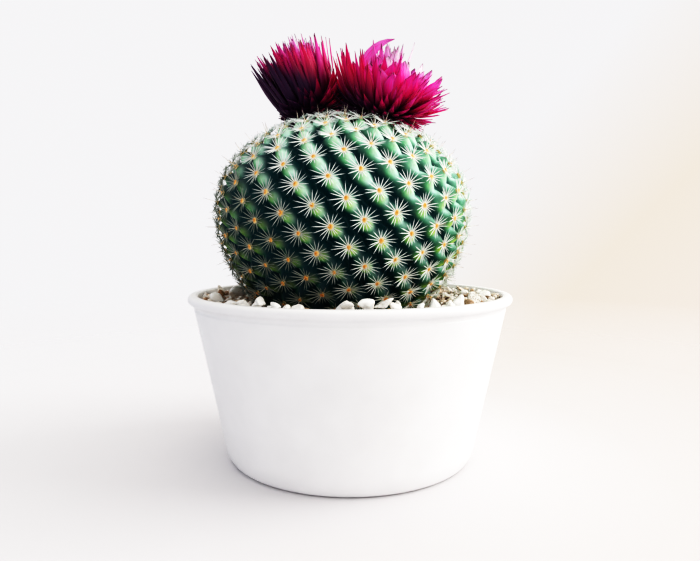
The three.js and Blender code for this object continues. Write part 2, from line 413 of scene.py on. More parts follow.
def sphere_grid(steps):
    """Unit vectors on six square grids that meet in a sphere, and the squares between them."""
    ticks = np.tan(np.linspace(-math.pi / 4, math.pi / 4, steps + 1))
    u, v = np.meshgrid(ticks, ticks, indexing="ij")
    one = np.ones_like(u)
    sides = [(one, u, v), (-one, v, u), (v, one, u), (u, -one, v), (u, v, one), (v, u, -one)]
    vectors = unit(np.concatenate([np.stack(side, -1).reshape(-1, 3) for side in sides]))
    cells = np.arange((steps + 1) ** 2).reshape(steps + 1, steps + 1)
    quads = np.stack([cells[:-1, :-1], cells[1:, :-1], cells[1:, 1:], cells[:-1, 1:]], -1)
    quads = np.concatenate([quads.reshape(-1, 4) + k * cells.size for k in range(6)])
    _, first, same = np.unique(np.round(vectors, 6), axis=0, return_index=True, return_inverse=True)
    return vectors[first], same.reshape(-1)[quads]


# %% Ridges
following = np.minimum(np.arange(count) + ON_RIDGE, count - 1)
chord = tip[following] - tip[following - ON_RIDGE]
ridge = unit(chord - (chord * tip_out).sum(-1, keepdims=True) * tip_out)
across_ridge = np.cross(tip_out, ridge)  # points up and to the right


def bell(values, middle, half_width):
    """A smooth bump of height one."""
    return np.exp(-((values - middle) / half_width) ** 2)


def tubercles(points):
    """Depth under the outline and three zones for each point, where painted light goes: the crest, the lower
    side and the tongue by the areole.
    """
    found = np.empty((4, len(points)))
    for start in range(0, len(points), AT_ONCE):
        part = slice(start, start + AT_ONCE)
        away = points[part, None] - tip[None]
        along = (away * ridge).sum(-1)
        side = (away * across_ridge).sum(-1)
        out = (away * tip_out).sum(-1)
        reach = np.sqrt(
            (along * np.where(along > 0, DOWN_RIDGE, UP_RIDGE)) ** 2
            + (side * np.where(side > 0, ABOVE_RIDGE, BELOW_RIDGE)) ** 2
            + out ** 2
        )
        fall = SLOPE * (np.sqrt(reach ** 2 + TIP_ROUND ** 2) - TIP_ROUND)
        soft = -CREASE_ROUND * np.log(np.exp(-fall / CREASE_ROUND).sum(1) + 1e-30)
        found[0, part] = np.clip(soft, -0.2 * MM, DEEPEST)
        near = np.abs(out) < 3 * MM
        # zones where painted light goes: highlight on the crest, lighter green on the lower side, glow on
        # the tongue
        crest = bell(side, 0.3 * MM, 1.25 * MM) * bell(along, 2.2 * MM, 2.1 * MM)
        lower_side = bell(side, -0.9 * MM, 1.3 * MM) * bell(along, 2.2 * MM, 2.6 * MM)
        tongue = bell(side, -0.3 * MM, 1.2 * MM) * bell(along, 1.4 * MM, 1.2 * MM)
        for row, zone in ((1, crest), (2, lower_side), (3, tongue)):
            found[row, part] = (zone * near).max(1)
    return found


skin_directions, skin_faces = sphere_grid(SKIN_STEPS)
depth, lit_crest, lit_flank, glow_zone = tubercles(on_body(skin_directions))
skin_points = on_body(skin_directions, depth)

# %% [markdown]
# Cactus skin is waxed and the flesh is deep green. Most of its light and shade is painted: a pale
# mint painted highlight on the crest of each ridge, broken up by noise, and lighter green flanks
# beside it; painted shade in the folds, near black; and beside each areole a yellow-green painted
# glow of light through the thin flesh, stronger on the lower half. All of it follows how much the
# skin faces the window on the right. The zones are stored on the points.

# %% Waxy skin with painted light and shade
def waxy_skin():
    made, tree, shader = new_material(
        "waxed_cactus_skin", IOR=1.45, Specular_IOR_Level=0.25, Coat_Weight=0.06, Coat_Roughness=0.3,
        Subsurface_Weight=0.1, Subsurface_Radius=(0.25, 1.0, 0.3), Subsurface_Scale=1.0 * MM)
    place = add(tree, "TexCoord").outputs["Object"]
    blotch = noise(tree, place, 4 * MM, 3.0)
    pores = noise(tree, place, 0.35 * MM, 2.0)
    creases = noise(tree, place, 1.6 * MM, 2.0)
    zones = {n: stored(tree, n) for n in ("fold_shade", "lit_crest", "lit_flank", "glow_zone")}
    # painted light: flesh runs from near-black teal in shade to bright green on lit flanks
    flank_light = added(tree, zones["lit_flank"], span(tree, blotch, -0.2, 0.2))
    flesh = ramped(tree, flank_light, [(0.1, "#0e3642"), (0.4, "#146b4e"), (0.75, "#27a468"), (1.0, "#43bd6e")])
    thick = span(tree, blotch, 0.55, 1.35, 0.3, 0.7)
    # painted highlight: pale mint on the crests, broken up by noise
    crest_highlight = add(tree, "Math", {0: zones["lit_crest"], 1: thick}, operation="MULTIPLY", use_clamp=True)
    highlighted = blend(tree, crest_highlight.outputs[0], flesh, linear("#d2f7ea"))
    # painted glow of light through the thin flesh beside the areoles
    glowing = blend(tree, zones["glow_zone"], highlighted, linear("#dcf46a"))
    # painted shade: the folds darken to near black
    colour = blend(tree, span(tree, zones["fold_shade"], 0, 1, 0.28, 0.66), glowing, linear("#1c4a50"))
    slack = bumped(tree, creases, 0.6, 0.5 * MM)
    bump = bumped(tree, pores, 0.35, 0.05 * MM, slack)
    connect(tree, shader, colour, span(tree, pores, 0.34, 0.5), bump)
    return made


WINDOW = [0.58, -0.1, 0.42]  # towards the window and up
LEAST_SUN = 0.12


def sun(normals):
    """How much a surface faces the window, from the least to 1; painted light and shade follow it."""
    return np.clip(0.4 + normals @ WINDOW, LEAST_SUN, 1)


# painted light and shade on the skin follow how much the outline faces the window
window_lit = sun(outline_normal(skin_points))
sunny = np.clip(window_lit - 0.4, 0, 1)
low_half = np.clip((BODY["centre"][2] + 7 * MM - skin_points[:, 2]) / (15 * MM), 0, 1)
skin_zones = {
    # painted shade, deeper in the folds and away from the window
    "fold_shade": np.clip(depth / (2.8 * MM), 0, 1) * (1 - 0.45 * lit_crest) * (1.1 - 0.5 * window_lit),
    # painted highlight, stronger towards the window and weaker low down
    "lit_crest": np.clip(1.95 * window_lit * lit_crest + 0.5 * sunny, 0, 1) * (1.0 - 0.4 * low_half),
    # painted light: lighter green flanks towards the window
    "lit_flank": np.maximum(lit_flank * (0.45 + 0.9 * window_lit), 0.9 * sunny),
    # painted glow, stronger low down and towards the window
    "glow_zone": glow_zone * (0.2 + 0.75 * low_half) * np.clip(0.2 + 1.4 * window_lit, 0, 1),
}
skin = waxy_skin()
make_piece("cactus_skin", skin_points, skin_faces, skin, ["cactus_body"],
           attributes=skin_zones)

# %% [markdown]
# ## Areoles and spines
#
# Each tubercle ends in an areole, a tiny cushion of wool. Eighteen straight white needles
# spread from it like a star, and one or two finer central spines stand out between them.
# A needle is a thin three-sided spike: thousands of them stay light, and at a quarter of a
# millimetre thick no one sees that they aren't round.

# %% Spikes
SHOULDER = 0.7  # how far along a spike its side bends in to the point
SHOULDER_WIDTH = 0.75  # and how thick it still is there


def spikes(base, direction, length, radius, sides=3):
    """Closed tapered spikes; returns points, faces and how far along each point is."""
    helper = np.where(np.abs(direction[:, 2:3]) < 0.9, [[0.0, 0.0, 1.0]], [[1.0, 0.0, 0.0]])
    side = unit(np.cross(direction, helper))
    other = np.cross(direction, side)
    rings = []
    for far, thick in ((0.0, 1.0), (SHOULDER, SHOULDER_WIDTH)):
        for k in range(sides):
            a = 2 * math.pi * k / sides
            ray = side * math.cos(a) + other * math.sin(a)
            rings.append(base + direction * (length * far)[:, None] + ray * (radius * thick)[:, None])
    rings.append(base + direction * length[:, None])
    points = np.stack(rings, 1).reshape(-1, 3)
    each = 2 * sides + 1
    cell = []
    for k in range(sides):
        n = (k + 1) % sides
        cell.append((k, n, sides + n, sides + k))
        cell.append((sides + k, sides + n, 2 * sides))
    cell.append(tuple(reversed(range(sides))))
    faces = [[i * each + c for c in face] for i in range(len(base)) for face in cell]
    far = np.tile([0.0] * sides + [SHOULDER] * sides + [1.0], len(base))
    return points, faces, far


# %% Spine sizes
RADIALS = 18
RADIAL_LENGTH = (3.3, 4.3)  # mm
RADIAL_RADIUS = (0.11, 0.14)  # mm
RADIAL_RISE = (8, 24)  # degrees off the skin
CENTRAL_LENGTH = (2.4, 3.8)  # mm
CENTRAL_RADIUS = (0.05, 0.07)  # mm
TWO_CENTRALS = 0.35  # share of the areoles that have two
dice = np.random.default_rng(5)


def radial_spines():
    """The stars, shorter up and down than sideways, and shortest over the next areole."""
    base, direction, length, radius = [], [], [], []
    for i in np.flatnonzero(shown):
        start = dice.uniform(0, 2 * math.pi)
        for k in range(RADIALS):
            a = start + 2 * math.pi * (k + dice.uniform(-0.22, 0.22)) / RADIALS
            ray = tip_right[i] * math.cos(a) + tip_up[i] * math.sin(a)
            rise = math.radians(dice.uniform(*RADIAL_RISE))
            base.append(tip[i] + ray * 0.35 * MM + tip_out[i] * 0.22 * MM)
            direction.append(ray * math.cos(rise) + tip_out[i] * math.sin(rise))
            down_ridge = max(0.0, float(ray @ ridge[i]))
            shorter = 1 - 0.2 * abs(math.sin(a)) - 0.3 * down_ridge ** 3
            length.append(dice.uniform(*RADIAL_LENGTH) * MM * shorter)
            radius.append(dice.uniform(*RADIAL_RADIUS) * MM)
    shape = spikes(np.array(base), unit(np.array(direction)), np.array(length), np.array(radius))
    # painted shade: spines away from the window are greyed
    spine_light = np.clip((sun(tip_out[shown]) - LEAST_SUN) / 0.36, 0, 1)
    return *shape, np.repeat(spine_light, len(shape[0]) // len(spine_light))


def central_spines():
    """One or two darts from the middle of each areole."""
    base, direction, length, radius = [], [], [], []
    for i in np.flatnonzero(shown):
        for _ in range(1 + (dice.random() < TWO_CENTRALS)):
            sway = tip_up[i] * dice.uniform(0.0, 0.3) + tip_right[i] * dice.uniform(-0.2, 0.2)
            base.append(tip[i] + tip_out[i] * 0.2 * MM + sway * 0.8 * MM)
            direction.append(tip_out[i] + sway)
            length.append(dice.uniform(*CENTRAL_LENGTH) * MM)
            radius.append(dice.uniform(*CENTRAL_RADIUS) * MM)
    return spikes(np.array(base), unit(np.array(direction)), np.array(length), np.array(radius))


# %% [markdown]
# Spines are dry, dead tissue, chalky and a little translucent. The radials are white from the
# foot; the centrals start amber and end in a dark brown point. Colour follows the length, so it
# is one ramp on a value stored along each spike. Painted shade greys the spines on the side away
# from the window; on the window's side they stay white.

# %% Spine finishes
def spine_finish(name, ramp):
    """Chalky dead tissue; the ramp runs from the foot to the point, and painted shade greys it away from the
    window.
    """
    made, tree, shader = new_material(name, IOR=1.5)
    chalk = noise(tree, add(tree, "TexCoord").outputs["Object"], 0.6 * MM, 1.0)
    colour = ramped(tree, added(tree, stored(tree, "far"), span(tree, chalk, -0.12, 0.12)), ramp)
    # painted shade: grey on the side away from the window
    spine_shade = blend(tree, stored(tree, "spine_light"), linear("#9da199"), linear("#ffffff"))
    shaded_spine = blend(tree, 1.0, colour, spine_shade, "MULTIPLY")
    connect(tree, shader, shaded_spine, span(tree, chalk, 0.35, 0.6))
    return made


needle = spine_finish("chalky_white_spine", [(0.0, "#f0e2bc"), (0.14, "#f6f7f2"), (1.0, "#f6fcfc")])
dart = spine_finish("amber_central_spine", [
    (0.0, "#c47a38"), (0.15, "#e6c79a"), (0.35, "#f6efe2"), (0.66, "#f3e9da"), (0.82, "#6a3a22"),
    (1.0, "#1c0e0a")])
points, faces, far, spine_light = radial_spines()
make_piece("radial_spines", points, faces, needle, attributes={"far": far, "spine_light": spine_light},
           smooth=False)
points, faces, far = central_spines()
make_piece("central_spines", points, faces, dart, smooth=False,
           attributes={"far": far, "spine_light": np.ones(len(far))})

# %% [markdown]
# The wool is felted hair a few tenths of a millimetre high. A low cushion carries the colour,
# amber in the middle and cream at the edge, with painted shade that turns it deeper amber on the
# side away from the window.

# %% Areole wool
def icosphere(subdivisions):
    """Points and triangles of a unit sphere with even faces."""
    shape = bmesh.new()
    bmesh.ops.create_icosphere(shape, subdivisions=subdivisions, radius=1)
    points = np.array([v.co for v in shape.verts])
    faces = np.array([[v.index for v in f.verts] for f in shape.faces])
    shape.free()
    return points, faces


WOOL = np.array([0.6, 0.72, 0.42]) * MM  # half size to the side, up and out
ball, ball_faces = icosphere(3)


def wool_cushions():
    """A lumpy cushion on each tip, and how amber each of its points is: most in the middle, and more with
    painted shade away from the window.
    """
    parts, middle = [], []
    for i in np.flatnonzero(shown):
        lumps = 1 + 0.12 * np.sin(ball @ dice.uniform(-6, 6, (3, 4))).sum(1) / 2
        size = WOOL * dice.uniform(0.85, 1.15)
        place = (ball * lumps[:, None]) * size
        points = tip[i] + place[:, :1] * tip_right[i] + place[:, 1:2] * tip_up[i] + place[:, 2:] * tip_out[i]
        parts.append((points + tip_out[i] * 0.08 * MM, ball_faces))
        shift = ball[:, 0] * 0.9 + 0.2
        amber = np.clip(1.15 - np.hypot(shift, ball[:, 1] - 0.1) * dice.uniform(0.8, 1.1), 0, 1)
        # painted shade: deeper amber on the side away from the window
        middle.append(amber * (1 - 0.38 * sun(tip_out[i])))
    points, faces = joined(parts)
    return points, faces, np.concatenate(middle)


def areole_felt():
    made, tree, shader = new_material("areole_felt", Sheen_Weight=0.5, Sheen_Roughness=0.5, IOR=1.45)
    hair = noise(tree, add(tree, "TexCoord").outputs["Object"], 0.16 * MM, 3.0)
    stirred = added(tree, stored(tree, "middle"), span(tree, hair, -0.2, 0.2))
    colour = ramped(tree, stirred, [
        (0.0, "#faeed0"), (0.3, "#f6d79c"), (0.6, "#ecae62"), (0.95, "#c47838")])
    bump = bumped(tree, hair, 0.8, 0.12 * MM)
    connect(tree, shader, colour, span(tree, hair, 0.75, 0.95), bump)
    return made


points, faces, middle = wool_cushions()
felt = areole_felt()
make_piece("areole_wool", points, faces, felt, attributes={"middle": middle})

# %% [markdown]
# ## Strawflower heads
#
# A strawflower's petals are bracts, dry as paper even on the living plant. They sit on a low
# receptacle in a golden-angle spiral: short and reflexed at the foot, long and pointed in the
# middle, broad and incurved at the heart. One function draws a bract along a bending centre
# line. It takes the lean at the foot and at the tip, both from the head's axis.

# %% Bract shape
BRACT_ROWS, BRACT_COLUMNS = 12, 5
PAPER = 0.13 * MM  # thickness


def bract(foot, rise, azimuth, first, last, bend, length, width, cup, point, twist, phase):
    """Points of one blade, outer sheet and then inner sheet, in the head's own frame.

    The blade starts at radius foot and height rise, leans by first at its foot and by last at
    its tip, and is as hollow as cup says. A larger point keeps it broad for longer.
    """
    s = np.linspace(0, 1, BRACT_ROWS)
    angle = last + (first - last) * (1 - s) ** bend
    step = length / (BRACT_ROWS - 1)
    out = foot + np.concatenate([[0], np.cumsum(np.sin(angle[:-1]) * step)])
    up = rise + np.concatenate([[0], np.cumsum(np.cos(angle[:-1]) * step)])
    belly = 0.62 + 0.38 * np.sin(np.pi * np.clip(s * 1.1, 0, 1))
    half = width / 2 * belly * (1 - s ** point)
    half *= 1 + 0.13 * np.sin(9 * s + phase)  # a ragged edge
    half[-1] = 0.02 * MM
    t = np.linspace(-1, 1, BRACT_COLUMNS)
    crumple = 0.09 * half[:, None] * np.sin(7 * s[:, None] + 3 * t[None] + 2 * phase)
    bowl = cup * (t[None] ** 2) * half[:, None] + crumple
    side = t[None] * half[:, None]
    across = side * np.cos(twist * s[:, None])
    inward = bowl + side * np.sin(twist * s[:, None])
    sheets = []
    for lift in (0.0, PAPER):
        radial = out[:, None] - np.cos(angle)[:, None] * (inward + lift)
        height = up[:, None] + np.sin(angle)[:, None] * (inward + lift)
        x = radial * math.cos(azimuth) - across * math.sin(azimuth)
        y = radial * math.sin(azimuth) + across * math.cos(azimuth)
        sheets.append(np.stack([x, y, height], -1).reshape(-1, 3))
    return np.concatenate(sheets)


def bract_faces():
    """Faces of one blade: outer sheet, inner sheet and the rim between them."""
    grid = np.arange(BRACT_ROWS * BRACT_COLUMNS).reshape(BRACT_ROWS, BRACT_COLUMNS)
    back = np.stack([grid[:-1, :-1], grid[:-1, 1:], grid[1:, 1:], grid[1:, :-1]], -1).reshape(-1, 4)
    front = back[:, ::-1] + grid.size
    border = np.concatenate([grid[0, :-1], grid[:-1, -1], grid[-1, :0:-1], grid[:0:-1, 0]])
    after = np.roll(border, -1)
    rim = np.stack([after, border, border + grid.size, after + grid.size], -1)
    return np.concatenate([back, front, rim])


BLADE = bract_faces()
BLADE_ALONG = np.tile(np.repeat(np.linspace(0, 1, BRACT_ROWS), BRACT_COLUMNS), 2)
BLADE_ACROSS = np.tile(np.tile(np.linspace(-1, 1, BRACT_COLUMNS), BRACT_ROWS), 2)

# %% [markdown]
# The two heads differ as two picked flowers do. The left one is half shut, a dense brush tipped
# to the left. The right one is open: its broad inner bracts close over the heart like a bowl,
# its outer ones stand steep on the left and lie flat on the right. Each head is a few whorls.
# In a whorl most numbers are pairs, for its first and its last bract, and the golden angle
# carries on from one whorl to the next. The last whorl on the right is a single broad bract
# that stands across the others.

# %% Head shapes
def whorl(count, foot, rise, first, last, length, width, bend=2.0, cup=0.25, point=3.5,
          swing=0, longer=0, painted_shade=(0, 0), tone=(0, 1), facing=None, twist=(-0.45, 0.45)):
    """Leans in degrees, sizes in mm; swing and longer act towards the head's open side.

    After longer, a pair gives the purple painted shade, most at a bract's foot and away from the open
    side; tone goes from crimson at 0 to pale pink at 1, whose palest end is a painted highlight.
    Facing sets a lone bract's direction in degrees, and twist is a range in radians.
    """
    return dict(count=count, foot=foot, rise=rise, first=first, last=last, length=length, width=width,
                bend=bend, cup=cup, point=point, swing=swing, longer=longer, painted_shade=painted_shade, tone=tone,
                facing=facing, twist=twist)


HEADS = {
    "left": {
        "lean_right": math.radians(-23), "lean_front": math.radians(4),
        "open": math.radians(5), "seed": 21,
        "whorls": [
            whorl(110, (4.4, 4.2), (-0.4, 1.4), (122, 92), (92, 24), (5, 10), (2.4, 2.8),
                  bend=1.6, longer=0.4, painted_shade=(1.6, 1.5), tone=(0.1, 0.2)),
            whorl(120, (3.8, 3.0), (0.8, 2.4), (78, 46), (12, 6), (18, 16.6), (1.6, 2.0),
                  bend=5, longer=0.0, painted_shade=(1.35, 0.9), tone=(0.25, 0.6), point=6),
            whorl(80, (3.0, 0.4), (2.4, 3.4), (40, 4), (6, 0), (16.4, 15.4), (1.7, 2.1),
                  bend=4, longer=0.08, painted_shade=(0.55, 0.15), tone=(0.55, 0.86), point=6),
        ],
    },
    "right": {
        "lean_right": math.radians(4), "lean_front": math.radians(10),
        "open": math.radians(-8), "seed": 34,
        "whorls": [
            whorl(150, (5.2, 4.4), (-0.4, 1.4), (130, 98), (104, 26), (6, 12), (1.5, 2.0),
                  bend=1.6, swing=14, painted_shade=(1.6, 1.1), tone=(0.2, 0.4)),
            whorl(84, (4.4, 3.4), (0.8, 2.2), (112, 76), (22, 12), (16.2, 15.6), (1.8, 2.4),
                  bend=3, swing=48, longer=-0.16, painted_shade=(0.9, 0.3), tone=(0.3, 0.5), point=5),
            whorl(44, (3.8, 2.0), (2.2, 2.8), (104, 50), (8, -34), (14.8, 12), (5.0, 7.8),
                  bend=1.2, cup=0.5, swing=20, painted_shade=(0.35, 0.0), tone=(0.38, 0.78), point=10),
            # the palest tones of these inner bracts are painted highlights
            whorl(30, (2.2, 0.4), (2.8, 3.4), (24, 6), (8, -8), (15.2, 12.6), (4.0, 2.8),
                  tone=(0.72, 1.0)),
            whorl(1, (4.3, 4.3), (2.6, 2.6), (40, 40), (-84, -84), (20.4, 20.4), (5.8, 5.8),
                  bend=0.95, cup=0.1, tone=(0.74, 0.74), facing=172, twist=(1.5, 1.55)),
        ],
    },
}


# %% Bracts on the heads
def head_axes(spec):
    """Columns are the head's own X, Y and Z in the frame."""
    cf, sf = math.cos(spec["lean_front"]), math.sin(spec["lean_front"])
    cr, sr = math.cos(spec["lean_right"]), math.sin(spec["lean_right"])
    about_x = np.array([[1, 0, 0], [0, cf, -sf], [0, sf, cf]])
    about_y = np.array([[cr, 0, sr], [0, 1, 0], [-sr, 0, cr]])
    return about_x @ about_y


def head_seat(side):
    """Where the head's own frame starts, just under its receptacle, and its axes."""
    low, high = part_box(f"receptacle_{side}")
    axes = head_axes(HEADS[side])
    return (np.array(low) + np.array(high)) / 2 - axes[:, 2] * 1.6 * MM, axes


def at(whorl_spec, key, rank):
    """A whorl's value for the bract at that rank, 0 for its first and 1 for its last."""
    return float(np.interp(rank, [0, 1], whorl_spec[key]))


def head_bracts(side):
    """Every bract of a head, and along, across, tone and painted shade for its points."""
    spec = HEADS[side]
    roll = np.random.default_rng(spec["seed"])
    seat, axes = head_seat(side)
    parts, tone, painted_shade = [], [], []
    placed = 0
    for row in spec["whorls"]:
        for k in range(row["count"]):
            rank = k / max(row["count"] - 1, 1)
            azimuth = placed * GOLDEN_ANGLE + roll.uniform(-0.12, 0.12)
            if row["facing"] is not None:
                azimuth = math.radians(row["facing"])
            towards = math.cos(azimuth - spec["open"])
            swing = row["swing"] * max(0.0, towards) ** 1.3
            first = math.radians(at(row, "first", rank) + roll.uniform(-5, 5) + 0.2 * swing)
            last = math.radians(at(row, "last", rank) + roll.uniform(-5, 5) + swing)
            reach = at(row, "length", rank) * (1 + row["longer"] * towards)
            length = reach * roll.uniform(0.87, 1.06) * MM
            width = at(row, "width", rank) * roll.uniform(0.85, 1.15) * MM
            foot, rise = at(row, "foot", rank) * MM, at(row, "rise", rank) * MM
            twist = roll.uniform(*row["twist"])
            phase = roll.uniform(0, 2 * math.pi)
            points = bract(foot, rise, azimuth, first, last, row["bend"], length, width, row["cup"],
                           row["point"], twist, phase)
            parts.append((seat + points @ axes.T, BLADE))
            # painted light: paler tone towards the head's open side, which faces the window
            tone += [at(row, "tone", rank) + 0.12 * towards + roll.uniform(-0.12, 0.12)] * len(points)
            # painted shade: plum at each bract's foot and on the side away from the window
            shade = at(row, "painted_shade", rank) * (0.8 - 0.4 * towards)
            from_foot = shade * (1.7 - 1.65 * BLADE_ALONG)
            painted_shade.append(np.clip(from_foot + 2 * max(0.0, shade - 1), 0, 1))
            placed += 1
    points, faces = joined(parts)
    ways = {"along": np.tile(BLADE_ALONG, placed), "across": np.tile(BLADE_ACROSS, placed),
            "tone": tone, "painted_shade": np.concatenate(painted_shade)}
    return points, faces, ways


# %% [markdown]
# The bracts are dyed. A dark plum painted shade lies at the foot, where the bracts crowd and
# shade each other, and on the side away from the window, and the points are darker too. The
# silky blade between them runs from crimson through magenta to a pale pink, whose palest end is
# a painted highlight. Parallel veins run from foot to point and give the surface its sheen, so
# they are a bump across the blade.

# %% Dyed bract paper with painted shade and highlight
def bract_paper():
    made, tree, shader = new_material(
        "dyed_bract_paper", IOR=1.45, Sheen_Weight=0.4, Sheen_Roughness=0.3,
        Sheen_Tint=linear("#ffb0e0"), Subsurface_Weight=0.08, Subsurface_Radius=(1.0, 0.2, 0.5),
        Subsurface_Scale=0.8 * MM)
    along, across, tone, painted_shade = (stored(tree, n) for n in ("along", "across", "tone", "painted_shade"))
    place = add(tree, "CombineXYZ", {"X": across, "Y": along, "Z": tone})
    spread = add(tree, "VectorMath", {0: place.outputs[0], 1: (6.0, 0.8, 40.0)}, operation="MULTIPLY")
    veins = noise(tree, spread.outputs[0], 1.0, 3.0)
    shift = span(tree, veins, -0.25, 0.25)
    paler = added(tree, tone, span(tree, along, -0.16, 0.14))
    # the palest end of the dye ramp is a painted highlight
    dye = ramped(tree, added(tree, paler, shift), [
        (0.05, "#b0145e"), (0.34, "#f01a6e"), (0.6, "#ff38b4"), (0.8, "#ff9ce6"), (1.0, "#ffeafc")])
    # painted shade at the foot where the bracts overlap, and darker points
    foot_shade_and_points = ramped(tree, added(tree, along, shift), [
        (0.0, "#2c1030"), (0.3, "#c8a0b8"), (0.5, "#ffffff"), (0.88, "#ffffff"), (1.0, "#5a2a4a")])
    blade = blend(tree, 1.0, dye, foot_shade_and_points, "MULTIPLY")
    # painted shade: the share of plum
    plum_shade = added(tree, painted_shade, shift, clamp=True)
    colour = blend(tree, plum_shade, blade, linear("#40204a"))
    bump = bumped(tree, veins, 0.5, 0.06 * MM)
    connect(tree, shader, colour, span(tree, veins, 0.32, 0.5), bump)
    return made


paper = bract_paper()
for side in HEADS:
    points, faces, ways = head_bracts(side)
    plain = (f"outer_bract_{side}", f"inner_bract_{side}")
    stands_for = [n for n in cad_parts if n.startswith(plain)]
    make_piece(f"bracts_{side}", points, faces, paper, stands_for, attributes=ways)

# %% [markdown]
# ## Heart, receptacle and glue
#
# Inside the bracts sits a disc of tiny tubular florets on the fibrous receptacle, and a drop of
# hot-melt glue holds each head to the crown. They hardly show, but a head seen from above or
# lifted off has them.

# %% Hearts
HEART_RADIUS = 4.2  # mm


def heart(side):
    """A fibrous cup with a grooved wall and a low dome, turned about the head's axis."""
    seat, axes = head_seat(side)
    profile = [(0, -0.2)]
    profile += [(HEART_RADIUS * math.sin(a), 1.6 - 1.8 * math.cos(a)) for a in np.radians([25, 50, 75, 90])]
    profile += [(4.3, 2.6), (3.9, 3.1), (3.0, 3.3), (0, 3.4)]
    points, faces = turned([(r * MM, h * MM) for r, h in profile], 40)
    swirl = np.arctan2(points[:, 1], points[:, 0])
    points[:, :2] *= (1 + 0.04 * np.sin(13 * swirl + points[:, 2] / MM * 2))[:, None]
    return seat + points @ axes.T, faces


FLORETS = 90
DISC_RADIUS = 2.9 * MM


def florets(side):
    """Tubular florets on a golden-angle disc, the middle ones tallest."""
    seat, axes = head_seat(side)
    k = np.arange(FLORETS)
    radius = DISC_RADIUS * np.sqrt((k + 0.5) / FLORETS)
    turn_by = k * GOLDEN_ANGLE
    outward = np.stack([np.cos(turn_by), np.sin(turn_by), np.zeros(FLORETS)], -1) * radius[:, None]
    base = outward + [0, 0, 3.2 * MM]
    direction = unit(outward / (9 * MM) + [0, 0, 1])
    length = (4.6 - 0.125 * (radius / MM) ** 2) * MM
    points, faces, _ = spikes(base, direction, length, np.full(FLORETS, 0.3 * MM), sides=6)
    return seat + points @ axes.T, faces


# %% [markdown]
# Dry fibre has one grain, and its colour, its roughness and its relief all follow that grain.
# The same is true of glue and of peat, so one function makes all of them. The receptacle has
# soaked up dye and is a dark plum; the florets have dried to rust.

# %% Grained finishes
def grained(name, size, detail, ramp, roughness, relief, **sockets):
    """A finish with one grain; relief is the bump's strength and its height."""
    made, tree, shader = new_material(name, **sockets)
    grain = noise(tree, add(tree, "TexCoord").outputs["Object"], size, detail)
    connect(tree, shader, ramped(tree, grain, ramp), span(tree, grain, *roughness),
            bumped(tree, grain, *relief))
    return made


plum_fibre = grained("dyed_receptacle_fibre", 0.5 * MM, 4.0, [(0.35, "#16060e"), (0.7, "#4a1228")],
                     (0.65, 0.9), (0.6, 0.15 * MM), IOR=1.45)
rust_fibre = grained("dry_disc_florets", 0.5 * MM, 4.0, [(0.35, "#4a1c14"), (0.7, "#a8552c")],
                     (0.65, 0.9), (0.6, 0.15 * MM), IOR=1.45)
for side in HEADS:
    points, faces = heart(side)
    make_piece(f"receptacle_cup_{side}", points, faces, plum_fibre, [f"receptacle_{side}"])
    points, faces = florets(side)
    make_piece(f"disc_florets_{side}", points, faces, rust_fibre, [f"florets_{side}"])

# %% [markdown]
# Hot-melt glue sets to a milky, waxy drop: light goes well into it, and its skin is smooth where
# it flowed and dull where it was pressed.

# %% Hot-melt glue
def glue_drop(side):
    """A slightly wavy drop that stays inside the CAD one's box."""
    low, high = (np.array(v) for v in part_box(f"glue_{side}"))
    ball_points, faces = icosphere(4)
    ripple = 1 + 0.05 * np.sin(ball_points @ np.random.default_rng(3).uniform(-5, 5, (3, 5))).sum(1)
    half = (high - low) / 2
    return (low + high) / 2 + ball_points * ripple[:, None] * half * [0.95, 0.95, 0.9], faces


melt = grained("milky_hot_melt", 1.6 * MM, 2.0, [(0.3, "#d8cfb6"), (0.7, "#f0ead8")], (0.2, 0.4),
               (0.3, 0.2 * MM), IOR=1.48, Subsurface_Weight=0.5, Subsurface_Radius=(1.0, 0.95, 0.8),
               Subsurface_Scale=1 * MM)
for side in HEADS:
    points, faces = glue_drop(side)
    make_piece(f"glue_drop_{side}", points, faces, melt, [f"glue_{side}"])

# %% [markdown]
# ## Soil, grit and pebbles
#
# Quartz gravel is tumbled: flat breaks with every edge rounded off. A pebble here is a sphere
# pressed by eleven soft planes. The big ones lie where the CAD pebbles lie, and a row of white
# ones along the front of the wall. Smaller grit fills the ring between the pot and the plant in
# two layers, the lower one half sunk in the bed, with a few larger stones on top.

# %% Pebble shape
def pebble_points(roll, sphere, half, rounding=0.13):
    """A sphere pressed by soft planes, then stretched to its half sizes."""
    planes = unit(roll.normal(size=(11, 3)))
    reach = 1 / np.clip(sphere @ planes.T, 0.18, None) * roll.uniform(0.84, 1.0, 11)
    soft = -rounding * np.log(np.exp(-reach / rounding).sum(1))
    wave = 1 + 0.02 * np.sin(sphere @ roll.uniform(-7, 7, (3, 3))).sum(1)
    shape = sphere * (soft * wave)[:, None]
    shape /= np.abs(shape).max(0)
    a = roll.uniform(0, 2 * math.pi)
    turned_round = np.array([[math.cos(a), -math.sin(a), 0], [math.sin(a), math.cos(a), 0], [0, 0, 1]])
    return (shape * half) @ turned_round.T


# %% Big pebbles
fine_ball, fine_ball_faces = icosphere(4)
FRONT = -18 * MM  # pebbles nearer than this show over the lip


def bank(x, y):
    """How far the gravel stands above its mean level: low in front, heaped at the wall elsewhere."""
    radius = math.hypot(x, y)
    front = min(max((-y / radius - 0.45) / 0.15, 0.0), 1.0)
    return front * -0.9 * MM + (1 - front) * 0.22 * max(0.0, radius - 31 * MM)


